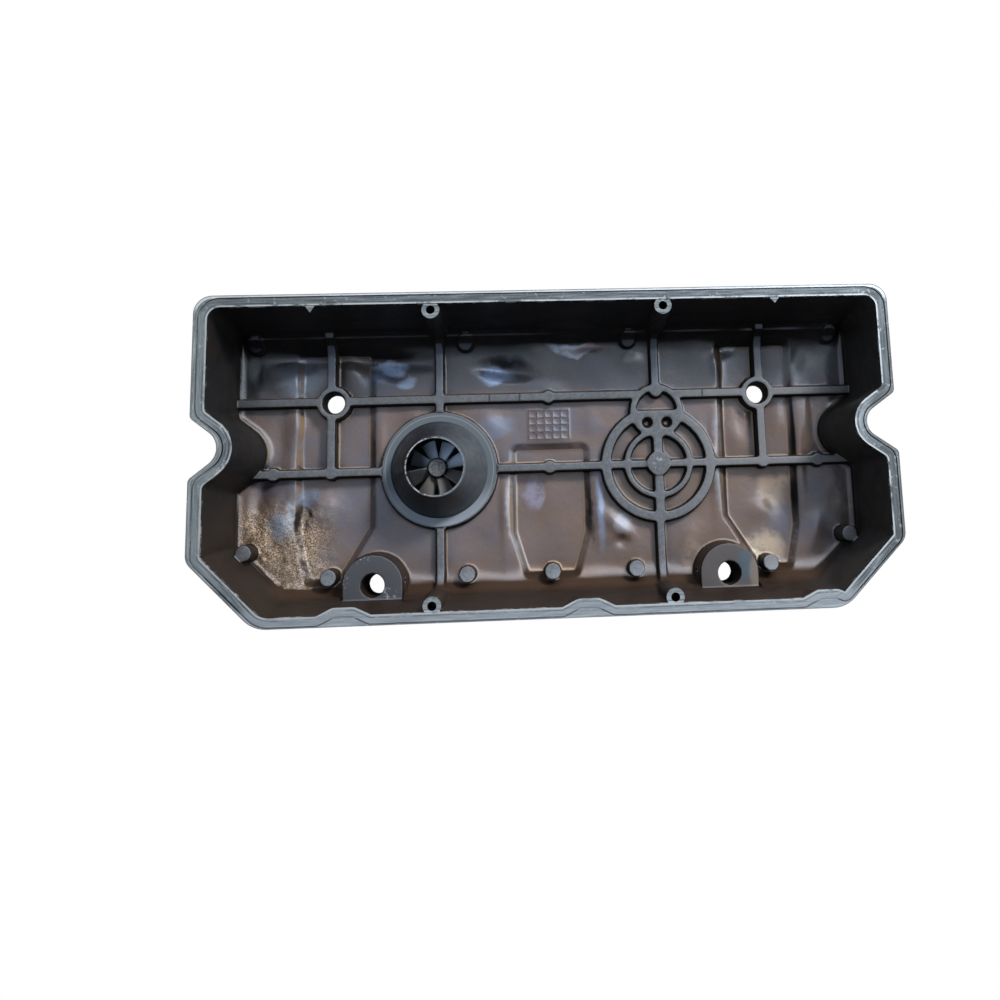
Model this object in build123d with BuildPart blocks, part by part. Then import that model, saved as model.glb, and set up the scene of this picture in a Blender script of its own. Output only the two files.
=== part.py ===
"""Valve cover of a four-cylinder truck diesel: one die casting, with a vaned throat and a turning
filler cap in its left-hand ring.

The cover lies on its outer face with its open side up: X runs along the engine, Y across it and Z
from the outer face to the sealing rim. The origin is the bottom centre of the casting.
Lengths are millimetres.
"""

import os
from math import cos, radians, sin, sqrt, tan

from build123d import *

# --- driving dimensions ---------------------------------------------------------------------

# casting shell
LENGTH = 540.0
WIDTH = 250.0
HEIGHT = 90.0
WALL = 4.0
ROOF = 4.0
PLATFORM = 2.0            # the outer seats stand this far below the pockets
CORNER_CUT = 50.0         # 45 degree cut across the two lower corners
UPPER_CORNER_R = 14.0
CUT_UPPER_R = 12.0
CUT_LOWER_R = 24.0
FLOOR_FILLET = 5.0
OUTER_EDGE = 2.5          # chamfer between the roof and the outer walls

# sealing rim
RIM_THICKNESS = 8.0
RIM_LEFT = 10.5           # width of the rim at the left end, the right end and the two sides
RIM_RIGHT = 9.2
RIM_TOP = 9.0
RIM_BOTTOM = 8.0
GROOVE_WIDTH = 1.0
GROOVE_DEPTH = 0.8
SEAL_BAND = 6.3           # flat sealing band between the cavity and the groove
END_DRAFT = 4.0           # how far the walls lean in between the rim and the floor
SIDE_DRAFT = 11.0

# half-round notches in the two ends
NOTCH_HALF_MOUTH = 23.0
MOUTH_R = 5.0
LEFT_NOTCH_Y = 8.2
LEFT_NOTCH_APEX = 29.4    # depth of the notch's sharp apex, before it is rounded
LEFT_NOTCH_R = 14.7
RIGHT_NOTCH_Y = 15.1
RIGHT_NOTCH_APEX = 33.0
RIGHT_NOTCH_R = 12.7

# inward jogs of the lower wall: centres along X
JOG_CENTRES = (-155.0, 25.5, 207.0)
JOG_DEPTH = 5.8
JOG_BASE = 40.0
JOG_TOP = 16.0
JOG_R = 9.0
JOG_LENGTH = 45.0

# ribs
RIB_HEIGHT = 8.0          # above the floor
RIB_WIDTH = 7.0
UPPER_RIB_Y = 50.0
LOWER_RIB_Y = -8.5
CROSS_RIB_X = 90.3
BOLT_RIB_X = 179.0
RIB_PAD_R = 5.6
OUTER_RIB_PAD_X = 225.5

# cover bolt seats: two on the upper rib, two on tall D-shaped lugs
BOLT_BORE_D = 15.6
BOLT_BORE_MOUTH_D = 18.6
BOLT_BORE_PLAIN = 9.0     # straight length of each bore, from the outer face
BOLT_SEAT_D = 22.0
UPPER_BOLT_X = 177.0
UPPER_BOLT_Y = 49.0
UPPER_BOSS_D = 27.8
LUG_X = 141.5
LUG_Y = -98.5
LUG_RADIUS = 23.5
LUG_HEIGHT = 30.0         # above the floor
LUG_DRAFT = 3.0           # degrees

# baffle screw bosses under the rim
SCREW_X = 90.7
SCREW_UPPER_Y = 111.0
SCREW_LOWER_Y = -112.7
SCREW_BOSS_TOP_D = 13.6
SCREW_BOSS_FOOT_D = 21.0
SCREW_HOLE_D = 6.8
SCREW_HOLE_DEPTH = 22.0
SCREW_BOSS_DROP = 1.0     # below the rim face

# ejector pads: (x, y, height above the floor), mirrored to the other side
PAD_D = 13.2
MIRRORED_PADS = (
    (240.7, 98.0, 5.0),
    (68.5, 97.0, 5.0),
    (244.0, -70.6, 22.0),
    (178.5, -92.0, 16.0),
    (68.6, -93.0, 12.0),
)
CENTRE_PAD = (0.3, -93.0, 12.0)

# filler ring (left) and blank rosette (right)
RING_X = 90.7
RING_Y = -8.2
RING_OUTER_R = 47.8
PLATFORM_R = 54.0
ROSETTE_BAND = 8.0
ROSETTE_INNER_R = 28.8
ROSETTE_INNER_BAND = 5.0
ROSETTE_HUB_R = 9.9
ROSETTE_HUB_PROUD = 1.0
ROSETTE_SPOKE_X = 6.6
ROSETTE_SPOKE_Y = 8.3
SATELLITE_Y = 36.0        # centre of the small ring above the rosette
SATELLITE_R = 22.6
SATELLITE_BAND = 5.6
SATELLITE_PAD_R = 5.6
WINDOW_SILL = 0.5         # the window's straight side, above the small ring's centre
PILOT_SPACING = 16.4
PILOT_Y = 26.0
PILOT_R = 4.7
PILOT_DEPTH = 6.0

# date panel
PANEL_Y = 27.2
PANEL_COLUMNS = 5
PANEL_ROWS = 4
PANEL_PITCH_X = 6.7
PANEL_PITCH_Y = 6.1
PANEL_LINE = 0.8
PANEL_RELIEF = 0.6

# pockets of the floor, which clear the rocker gear
POCKET_DEPTH = 4.0
POCKET_SLOPE = 58.0       # degrees from the vertical
POCKET_R = 8.0
POCKET_MARGIN = 2.0       # the outer side of a pocket is wider by this much
CENTRE_POCKET = ((-34.0, 12.0), (34.0, 12.0), (34.0, -62.0), (23.0, -99.0), (-23.0, -99.0), (-34.0, -62.0))
END_POCKET = (
    (143.0, 96.0), (209.0, 96.0), (209.0, -62.0), (201.0, -99.0), (171.0, -99.0), (143.0, -54.0)
)

# filler throat: a moulded cone with a vaned floor, standing in the ring
RING_DROP = 1.6           # the cast ring stops this far under the ribs' tops
THROAT_FLANGE_R = 46.4
THROAT_FOOT_R = 39.6
THROAT_MOUTH_R = 24.0     # outer radius at the mouth
THROAT_HEIGHT = 42.0      # above the ribs' tops
THROAT_WALL = 1.8
SPIGOT_WALL = 1.8
SPIGOT_CLEARANCE = 0.1
VANE_COUNT = 8
VANE_THICKNESS = 1.6
VANE_INNER_CHORD = 7.0
VANE_OUTER_CHORD = 21.0
VANE_INNER_PITCH = 48.0   # degrees
VANE_OUTER_PITCH = 32.0
VANE_START = 20.0         # direction of the first vane, degrees
VANE_LEVEL = 16.0         # middle of the vanes, above the ribs' tops
VANE_HUB_R = 6.9
VANE_HUB_LENGTH = 12.0

# filler cap: a bayonet plug, flush with the outer seat
CAP_BORE_R = 41.0
CAP_RECESS = 1.2          # the cap lies this far inside the outer seat
CAP_PLATE = 4.4
CAP_DISH_R = 33.0
CAP_DISH_DEPTH = 2.6
CAP_CLEARANCE = 0.4
LEDGE_R = 35.6
LEDGE_THICKNESS = 3.4
LEDGE_LEVEL = 6.8         # outer side of the ledge that the seal closes on
PLUG_WALL = 2.4
PLUG_TOP = 3.6            # the plug ends this far above the ledge
GRIP_LENGTH = 54.0
GRIP_WIDTH = 9.0
TAB_COUNT = 3
TAB_ARC = 32.0            # degrees
TAB_REACH = 3.0           # beyond the ledge's inner edge
TAB_THICKNESS = 2.6
TAB_CLEARANCE = 0.4
SLOT_ARC_CLEARANCE = 4.0  # degrees on each side of a tab
CAP_TURN = 60.0           # degrees from locked to free
SEAL_WIDTH = 3.0
SEAL_GAP = 0.1

# --- levels that follow -----------------------------------------------------------------------

ROOF_Z = PLATFORM + POCKET_DEPTH
FLOOR_Z = ROOF_Z + ROOF
POCKET_Z = FLOOR_Z - POCKET_DEPTH
RIB_Z = FLOOR_Z + RIB_HEIGHT
RIM_Z = HEIGHT - RIM_THICKNESS
HALF_LENGTH = LENGTH / 2
HALF_WIDTH = WIDTH / 2
FILLET_STEPS = (0, 45, 90)
CHAMFER_STEPS = (0, 90)
RING_CENTRE = (-RING_X, RING_Y)
RING_AXIS = Axis((*RING_CENTRE, 0), (0, 0, 1))
ROSETTE_CENTRE = (RING_X, RING_Y)
RING_Z = RIB_Z - RING_DROP
LEDGE_TOP = LEDGE_LEVEL + LEDGE_THICKNESS
THROAT_Z = RIB_Z + THROAT_HEIGHT
SPIGOT_R = CAP_BORE_R - SPIGOT_CLEARANCE
VANE_Z = RIB_Z + VANE_LEVEL
CAP_R = CAP_BORE_R - CAP_CLEARANCE
CAP_TOP = CAP_RECESS + CAP_PLATE
PLUG_R = LEDGE_R - CAP_CLEARANCE
PLUG_Z = LEDGE_TOP + PLUG_TOP


# --- outlines ---------------------------------------------------------------------------------


def end_points(inset, notch_y, apex_depth):
    """Corners of one notched end, from the top down, as (distance from the middle, y)."""
    half_angle_tan = NOTCH_HALF_MOUTH / apex_depth
    apex = HALF_LENGTH - apex_depth - inset * sqrt(1 + 1 / half_angle_tan**2)
    edge = HALF_LENGTH - inset
    half_mouth = (edge - apex) * half_angle_tan
    return [(edge, notch_y + half_mouth), (apex, notch_y), (edge, notch_y - half_mouth)]


def cover_outline(left, right, top, bottom, rounding=0.0):
    """Closed plan outline of the cover, drawn in by its own amount at each side.

    `rounding` is taken off the radii of the outer corners and added to those of the notches.
    """
    y_top = HALF_WIDTH - top
    y_bottom = -HALF_WIDTH + bottom
    points, corner_radii = [], []
    for side, inset, notch_y, apex_depth, notch_r in (
        (-1, left, LEFT_NOTCH_Y, LEFT_NOTCH_APEX, LEFT_NOTCH_R),
        (1, right, RIGHT_NOTCH_Y, RIGHT_NOTCH_APEX, RIGHT_NOTCH_R),
    ):
        x_end = HALF_LENGTH - inset
        cut_sum = HALF_LENGTH + HALF_WIDTH - CORNER_CUT - sqrt(2) * (inset + bottom) / 2
        end = [(x_end, y_top)] + end_points(inset, notch_y, apex_depth)
        end += [(x_end, x_end - cut_sum), (cut_sum + y_bottom, y_bottom)]
        radii = [
            max(UPPER_CORNER_R - rounding / 2, 1.0),
            MOUTH_R,
            notch_r + rounding,
            MOUTH_R,
            max(CUT_UPPER_R - rounding, 1.0),
            max(CUT_LOWER_R - rounding, 1.0),
        ]
        end = [(side * x, y) for x, y in end]
        points += end if side < 0 else end[::-1]
        corner_radii += radii if side < 0 else radii[::-1]
    with BuildLine() as outline:
        FilletPolyline(*points, radius=corner_radii, close=True)
    make_face(outline.edges())


def wall_outline(level, lean):
    """Outline of the wall's inner face at a level, leaning in with the draft and by `lean`."""
    share = (HEIGHT - level) / (HEIGHT - FLOOR_Z)
    cover_outline(
        RIM_LEFT + END_DRAFT * share + lean,
        RIM_RIGHT + END_DRAFT * share + lean,
        RIM_TOP + SIDE_DRAFT * share + lean,
        RIM_BOTTOM + SIDE_DRAFT * share + lean,
        rounding=RIM_TOP + lean,
    )


def edge_steps(level, radius, steps):
    """(level, lean) along the quarter round between a flat and the wall that rises from it."""
    return [
        (level + radius * (1 - cos(radians(a))), radius * (1 - sin(radians(a))))
        for a in steps
    ]


def rim_inner_outline():
    """Inner edge of the sealing rim, with the three inward jogs of the lower wall."""
    cover_outline(RIM_LEFT, RIM_RIGHT, RIM_TOP, RIM_BOTTOM, rounding=RIM_TOP)
    jog_outlines(mode=Mode.SUBTRACT)


def jog_outlines(mode):
    """The inward jogs of the lower wall, as rounded trapeziums that stand on its inner face."""
    foot = -HALF_WIDTH + RIM_BOTTOM - JOG_R
    face = -HALF_WIDTH + RIM_BOTTOM
    for centre in JOG_CENTRES:
        with BuildLine() as jog:
            FilletPolyline(
                (centre - JOG_BASE / 2 - JOG_R, foot),
                (centre - JOG_BASE / 2, face),
                (centre - JOG_TOP / 2, face + JOG_DEPTH),
                (centre + JOG_TOP / 2, face + JOG_DEPTH),
                (centre + JOG_BASE / 2, face),
                (centre + JOG_BASE / 2 + JOG_R, foot),
                radius=(0, JOG_R, JOG_R, 0),
            )
            Line(
                (centre - JOG_BASE / 2 - JOG_R, foot),
                (centre + JOG_BASE / 2 + JOG_R, foot),
            )
        make_face(jog.edges(), mode=mode)


def pocket_outlines(margin):
    """The three pockets of the floor at their mouths, each wider by a margin."""
    for corners in (CENTRE_POCKET, END_POCKET, [(-x, y) for x, y in END_POCKET[::-1]]):
        with BuildSketch(mode=Mode.PRIVATE) as pocket:
            with BuildLine() as outline:
                FilletPolyline(*corners, radius=POCKET_R, close=True)
            make_face(outline.edges())
            offset(amount=margin)
        add(pocket.sketch)


# --- planes round the filler opening -------------------------------------------------------------


def radial_plane(direction):
    """Upright plane through the ring's axis: x runs outwards at `direction` degrees, y runs up."""
    a = radians(direction)
    return Plane(origin=(*RING_CENTRE, 0), x_dir=(cos(a), sin(a), 0), z_dir=(sin(a), -cos(a), 0))


def vane_plane(direction, radius, pitch):
    """Plane across a vane at a radius: x falls away round the axis at the vane's pitch."""
    a, p = radians(direction), radians(pitch)
    outwards = Vector(cos(a), sin(a), 0)
    along = Vector(-sin(a) * cos(p), cos(a) * cos(p), -sin(p))
    centre = Vector(*RING_CENTRE, VANE_Z) + outwards * radius
    return Plane(origin=centre, x_dir=along, z_dir=outwards)


# --- die core: the cavity of the cover, with every inner form sunk into it -----------------------

with BuildPart() as core:
    for level, lean in edge_steps(FLOOR_Z, FLOOR_FILLET, FILLET_STEPS):
        with BuildSketch(Plane.XY.offset(level)):
            wall_outline(level, lean)
    with BuildSketch(Plane.XY.offset(HEIGHT)):
        wall_outline(HEIGHT, 0)
    loft(ruled=True)

    # inward jogs of the lower wall
    with BuildSketch(Plane.XY.offset(HEIGHT)):
        jog_outlines(mode=Mode.ADD)
    extrude(amount=-JOG_LENGTH, mode=Mode.SUBTRACT)

    # pockets of the floor
    with BuildSketch(Plane.XY.offset(FLOOR_Z)):
        pocket_outlines(0)
    extrude(amount=-POCKET_DEPTH, taper=POCKET_SLOPE)

    # long ribs, both ways, with their round pads
    with BuildSketch(Plane.XY.offset(POCKET_Z)):
        for y in (UPPER_RIB_Y, LOWER_RIB_Y):
            with Locations((0, y)):
                Rectangle(LENGTH, RIB_WIDTH)
        with Locations((-CROSS_RIB_X, 0), (CROSS_RIB_X, 0)):
            Rectangle(RIB_WIDTH, WIDTH)
        with Locations((-BOLT_RIB_X, HALF_WIDTH), (BOLT_RIB_X, HALF_WIDTH)):
            Rectangle(RIB_WIDTH, HALF_WIDTH - LOWER_RIB_Y, align=(Align.CENTER, Align.MAX))
        with Locations((0, UPPER_RIB_Y), (0, LOWER_RIB_Y)):
            Circle(RIB_PAD_R)
        for x in (BOLT_RIB_X, OUTER_RIB_PAD_X):
            with Locations((-x, LOWER_RIB_Y), (x, LOWER_RIB_Y)):
                Circle(RIB_PAD_R)
        with Locations((-UPPER_BOLT_X, UPPER_BOLT_Y), (UPPER_BOLT_X, UPPER_BOLT_Y)):
            Circle(UPPER_BOSS_D / 2)
        with Locations(RING_CENTRE, ROSETTE_CENTRE):
            Circle(RING_OUTER_R, mode=Mode.SUBTRACT)
        with Locations((RING_X, SATELLITE_Y)):
            Circle(SATELLITE_R, mode=Mode.SUBTRACT)
    extrude(amount=RIB_Z - POCKET_Z, mode=Mode.SUBTRACT)

    # cast ring of the filler opening
    with BuildSketch(Plane.XY.offset(FLOOR_Z)):
        with Locations(RING_CENTRE):
            Circle(RING_OUTER_R)
    extrude(amount=RIB_HEIGHT - RING_DROP, mode=Mode.SUBTRACT)

    # rosette: two rings, a cross of spokes, and the small ring with its window above them
    with BuildSketch(Plane.XY.offset(FLOOR_Z)):
        with Locations(ROSETTE_CENTRE):
            Circle(RING_OUTER_R)
            Circle(RING_OUTER_R - ROSETTE_BAND, mode=Mode.SUBTRACT)
            Circle(ROSETTE_INNER_R)
            Circle(ROSETTE_INNER_R - ROSETTE_INNER_BAND, mode=Mode.SUBTRACT)
            Rectangle(2 * RING_OUTER_R - ROSETTE_BAND, ROSETTE_SPOKE_X)
            Rectangle(ROSETTE_SPOKE_Y, 2 * RING_OUTER_R - ROSETTE_BAND)
        with Locations((RING_X, SATELLITE_Y)):
            Circle(SATELLITE_R)
        with BuildSketch(mode=Mode.PRIVATE) as window:
            with Locations((RING_X, SATELLITE_Y)):
                Circle(SATELLITE_R - SATELLITE_BAND)
            with Locations((RING_X, SATELLITE_Y + WINDOW_SILL)):
                Rectangle(
                    2 * SATELLITE_R,
                    2 * SATELLITE_R,
                    align=(Align.CENTER, Align.MAX),
                    mode=Mode.SUBTRACT,
                )
        add(window.sketch, mode=Mode.SUBTRACT)
        with Locations((RING_X, SATELLITE_Y + SATELLITE_R - SATELLITE_PAD_R)):
            Circle(SATELLITE_PAD_R)
    extrude(amount=RIB_HEIGHT, mode=Mode.SUBTRACT)
    with Locations((*ROSETTE_CENTRE, FLOOR_Z)):
        Cylinder(
            ROSETTE_HUB_R,
            RIB_HEIGHT + ROSETTE_HUB_PROUD,
            align=(Align.CENTER, Align.CENTER, Align.MIN),
            mode=Mode.SUBTRACT,
        )
    for x in (RING_X - PILOT_SPACING / 2, RING_X + PILOT_SPACING / 2):
        with Locations((x, PILOT_Y, RIB_Z - PILOT_DEPTH)):
            Cone(
                PILOT_R / 2,
                PILOT_R,
                PILOT_DEPTH,
                align=(Align.CENTER, Align.CENTER, Align.MIN),
            )

    # tall D-shaped lugs of the two lower bolts, standing against the lower wall
    lug_length = FLOOR_Z + LUG_HEIGHT - POCKET_Z
    with BuildSketch(Plane.XY.offset(POCKET_Z)):
        lug_foot_r = LUG_RADIUS + lug_length * tan(radians(LUG_DRAFT))
        for x in (-LUG_X, LUG_X):
            with Locations((x, LUG_Y)):
                Circle(lug_foot_r)
                Rectangle(2 * lug_foot_r, HALF_WIDTH + LUG_Y, align=(Align.CENTER, Align.MAX))
    extrude(amount=lug_length, taper=LUG_DRAFT, mode=Mode.SUBTRACT)

    # ejector pads
    pads = [(side * x, y, h) for x, y, h in MIRRORED_PADS for side in (-1, 1)] + [CENTRE_PAD]
    for x, y, pad_height in pads:
        with Locations((x, y, POCKET_Z)):
            Cylinder(
                PAD_D / 2,
                FLOOR_Z + pad_height - POCKET_Z,
                align=(Align.CENTER, Align.CENTER, Align.MIN),
                mode=Mode.SUBTRACT,
            )

    # baffle screw bosses, tapering up to just under the rim
    for x in (-SCREW_X, SCREW_X):
        for y in (SCREW_UPPER_Y, SCREW_LOWER_Y):
            with Locations((x, y, FLOOR_Z)):
                Cone(
                    SCREW_BOSS_FOOT_D / 2,
                    SCREW_BOSS_TOP_D / 2,
                    HEIGHT - SCREW_BOSS_DROP - FLOOR_Z,
                    align=(Align.CENTER, Align.CENTER, Align.MIN),
                    mode=Mode.SUBTRACT,
                )

    # date panel: a bare raised grid
    with BuildSketch(Plane.XY.offset(FLOOR_Z)):
        for column in range(PANEL_COLUMNS + 1):
            with Locations(((column - PANEL_COLUMNS / 2) * PANEL_PITCH_X, PANEL_Y)):
                Rectangle(PANEL_LINE, PANEL_ROWS * PANEL_PITCH_Y + PANEL_LINE)
        for row in range(PANEL_ROWS + 1):
            with Locations((0, PANEL_Y + (row - PANEL_ROWS / 2) * PANEL_PITCH_Y)):
                Rectangle(PANEL_COLUMNS * PANEL_PITCH_X + PANEL_LINE, PANEL_LINE)
    extrude(amount=PANEL_RELIEF, mode=Mode.SUBTRACT)


# --- cover casting -------------------------------------------------------------------------------

with BuildPart() as cover_casting:
    # outer walls and roof
    for level, lean in edge_steps(ROOF_Z, OUTER_EDGE, CHAMFER_STEPS):
        with BuildSketch(Plane.XY.offset(level)):
            wall_outline(level, lean - WALL)
    with BuildSketch(Plane.XY.offset(RIM_Z)):
        wall_outline(RIM_Z, -WALL)
    loft(ruled=True)

    # rim
    with BuildSketch(Plane.XY.offset(RIM_Z)):
        cover_outline(0, 0, 0, 0)
    extrude(amount=RIM_THICKNESS)

    # the pockets show on the roof as flat swellings
    with BuildSketch(Plane.XY.offset(ROOF_Z)):
        pocket_outlines(POCKET_MARGIN)
    extrude(amount=-POCKET_DEPTH, taper=POCKET_SLOPE)

    # outer seats: the two round platforms and the four bolt seats
    with BuildSketch(Plane.XY):
        with Locations(RING_CENTRE, ROSETTE_CENTRE):
            Circle(PLATFORM_R)
        with Locations((-UPPER_BOLT_X, UPPER_BOLT_Y), (UPPER_BOLT_X, UPPER_BOLT_Y)):
            Circle(BOLT_SEAT_D / 2)
        with Locations((-LUG_X, LUG_Y), (LUG_X, LUG_Y)):
            Circle(BOLT_SEAT_D / 2)
    extrude(amount=FLOOR_Z)

    add(core.part, mode=Mode.SUBTRACT)

    # sealing groove
    with BuildSketch(Plane.XY.offset(HEIGHT)):
        rim_inner_outline()
        offset(amount=SEAL_BAND + GROOVE_WIDTH)
        with BuildSketch(mode=Mode.PRIVATE) as sealing_band:
            rim_inner_outline()
            offset(amount=SEAL_BAND)
        add(sealing_band.sketch, mode=Mode.SUBTRACT)
    extrude(amount=-GROOVE_DEPTH, mode=Mode.SUBTRACT)

    # cover bolt bores: straight from outside, then opening towards the inside
    for x, y, top in (
        (-UPPER_BOLT_X, UPPER_BOLT_Y, RIB_Z),
        (UPPER_BOLT_X, UPPER_BOLT_Y, RIB_Z),
        (-LUG_X, LUG_Y, FLOOR_Z + LUG_HEIGHT),
        (LUG_X, LUG_Y, FLOOR_Z + LUG_HEIGHT),
    ):
        with Locations((x, y, 0)):
            Cylinder(
                BOLT_BORE_D / 2,
                BOLT_BORE_PLAIN,
                align=(Align.CENTER, Align.CENTER, Align.MIN),
                mode=Mode.SUBTRACT,
            )
        with Locations((x, y, BOLT_BORE_PLAIN)):
            Cone(
                BOLT_BORE_D / 2,
                BOLT_BORE_MOUTH_D / 2,
                top - BOLT_BORE_PLAIN,
                align=(Align.CENTER, Align.CENTER, Align.MIN),
                mode=Mode.SUBTRACT,
            )

    # baffle screw holes
    with Locations(Plane.XY.offset(HEIGHT - SCREW_BOSS_DROP)):
        with Locations(
            (-SCREW_X, SCREW_UPPER_Y),
            (SCREW_X, SCREW_UPPER_Y),
            (-SCREW_X, SCREW_LOWER_Y),
            (SCREW_X, SCREW_LOWER_Y),
        ):
            Hole(SCREW_HOLE_D / 2, depth=SCREW_HOLE_DEPTH)

    # filler opening: cap bore, ledge with bayonet slots, seat of the throat's spigot
    with Locations((*RING_CENTRE, 0)):
        Cylinder(
            CAP_BORE_R,
            LEDGE_LEVEL,
            align=(Align.CENTER, Align.CENTER, Align.MIN),
            mode=Mode.SUBTRACT,
        )
        Cylinder(
            LEDGE_R,
            HEIGHT,
            align=(Align.CENTER, Align.CENTER, Align.MIN),
            mode=Mode.SUBTRACT,
        )
    with Locations((*RING_CENTRE, LEDGE_TOP)):
        Cylinder(
            CAP_BORE_R,
            HEIGHT,
            align=(Align.CENTER, Align.CENTER, Align.MIN),
            mode=Mode.SUBTRACT,
        )
    for tab in range(TAB_COUNT):
        start = tab * 360 / TAB_COUNT - CAP_TURN - SLOT_ARC_CLEARANCE
        with BuildSketch(radial_plane(start)):
            with Locations((LEDGE_R, LEDGE_LEVEL + LEDGE_THICKNESS / 2)):
                Rectangle(2 * (TAB_REACH + TAB_CLEARANCE), LEDGE_THICKNESS)
        revolve(
            axis=RING_AXIS,
            revolution_arc=TAB_ARC + 2 * SLOT_ARC_CLEARANCE,
            mode=Mode.SUBTRACT,
        )

cover_casting.part.label = "cover_casting"


# --- filler throat: flange, spigot and cone, with a hub and pitched vanes across it ----------------

with BuildPart() as filler_throat:
    with BuildSketch(radial_plane(0)):
        with BuildLine():
            Polyline(
                (THROAT_FLANGE_R, RING_Z),
                (THROAT_FLANGE_R, RIB_Z),
                (THROAT_FOOT_R, RIB_Z),
                (THROAT_MOUTH_R, THROAT_Z),
                (THROAT_MOUTH_R - THROAT_WALL, THROAT_Z),
                (THROAT_FOOT_R - THROAT_WALL, RIB_Z),
                (SPIGOT_R - SPIGOT_WALL, RING_Z),
                (SPIGOT_R - SPIGOT_WALL, LEDGE_TOP + TAB_CLEARANCE),
                (SPIGOT_R, LEDGE_TOP + TAB_CLEARANCE),
                (SPIGOT_R, RING_Z),
                close=True,
            )
        make_face()
    revolve(axis=RING_AXIS)

# what the vanes may fill: the inside of the cone, to half its wall
with BuildPart() as throat_inside:
    with BuildSketch(radial_plane(0)):
        with BuildLine():
            Polyline(
                (0, RIB_Z),
                (THROAT_FOOT_R - THROAT_WALL / 2, RIB_Z),
                (THROAT_MOUTH_R - THROAT_WALL / 2, THROAT_Z),
                (0, THROAT_Z),
                close=True,
            )
        make_face()
    revolve(axis=RING_AXIS)

with BuildPart() as vanes:
    for vane in range(VANE_COUNT):
        direction = VANE_START + vane * 360 / VANE_COUNT
        for radius, chord, pitch in (
            (VANE_HUB_R / 2, VANE_INNER_CHORD, VANE_INNER_PITCH),
            (THROAT_FOOT_R, VANE_OUTER_CHORD, VANE_OUTER_PITCH),
        ):
            with BuildSketch(vane_plane(direction, radius, pitch)):
                Rectangle(chord, VANE_THICKNESS)
        loft()
    add(throat_inside.part, mode=Mode.INTERSECT)
    with Locations((*RING_CENTRE, VANE_Z)):
        Cylinder(VANE_HUB_R, VANE_HUB_LENGTH)

with filler_throat:
    add(vanes.part)

filler_throat.part.label = "filler_throat"


# --- filler cap: dished plate with a grip bar, plug and three bayonet tabs -------------------------

with BuildPart() as filler_cap:
    with BuildSketch(radial_plane(0)):
        with BuildLine():
            Polyline(
                (0, CAP_RECESS + CAP_DISH_DEPTH),
                (CAP_DISH_R, CAP_RECESS + CAP_DISH_DEPTH),
                (CAP_DISH_R + CAP_DISH_DEPTH, CAP_RECESS),
                (CAP_R, CAP_RECESS),
                (CAP_R, CAP_TOP),
                (PLUG_R, CAP_TOP),
                (PLUG_R, PLUG_Z),
                (PLUG_R - PLUG_WALL, PLUG_Z),
                (PLUG_R - PLUG_WALL, CAP_TOP),
                (0, CAP_TOP),
                close=True,
            )
        make_face()
    revolve(axis=RING_AXIS)

    # grip bar across the dish
    with BuildSketch(Plane.XY.offset(CAP_RECESS)):
        with Locations(RING_CENTRE):
            SlotOverall(GRIP_LENGTH, GRIP_WIDTH)
    extrude(amount=CAP_DISH_DEPTH)

    # bayonet tabs behind the ledge
    for tab in range(TAB_COUNT):
        with BuildSketch(radial_plane(tab * 360 / TAB_COUNT)):
            with Locations((LEDGE_R + TAB_REACH, LEDGE_TOP + TAB_CLEARANCE)):
                Rectangle(
                    TAB_REACH + CAP_CLEARANCE + PLUG_WALL / 2,
                    TAB_THICKNESS,
                    align=(Align.MAX, Align.MIN),
                )
        revolve(axis=RING_AXIS, revolution_arc=TAB_ARC)

filler_cap.part.label = "filler_cap"


# --- cap seal: flat ring between the cap's plate and the ledge --------------------------------------

with BuildPart() as cap_seal:
    with BuildSketch(Plane.XY.offset(CAP_TOP)):
        with Locations(RING_CENTRE):
            Circle(LEDGE_R + SEAL_WIDTH)
            Circle(LEDGE_R, mode=Mode.SUBTRACT)
    extrude(amount=LEDGE_LEVEL - SEAL_GAP - CAP_TOP)

cap_seal.part.label = "cap_seal"


# --- export -----------------------------------------------------------------------------------------

os.makedirs("parts", exist_ok=True)
for piece in (cover_casting, filler_throat, filler_cap, cap_seal):
    export_step(piece.part, f"parts/{piece.part.label}.step")
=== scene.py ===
"""The looks of a used engine valve cover: an oily die casting that lies with its open side up."""

import math

import bmesh
import bpy
import numpy as np
from mathutils import Matrix, Vector


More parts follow.
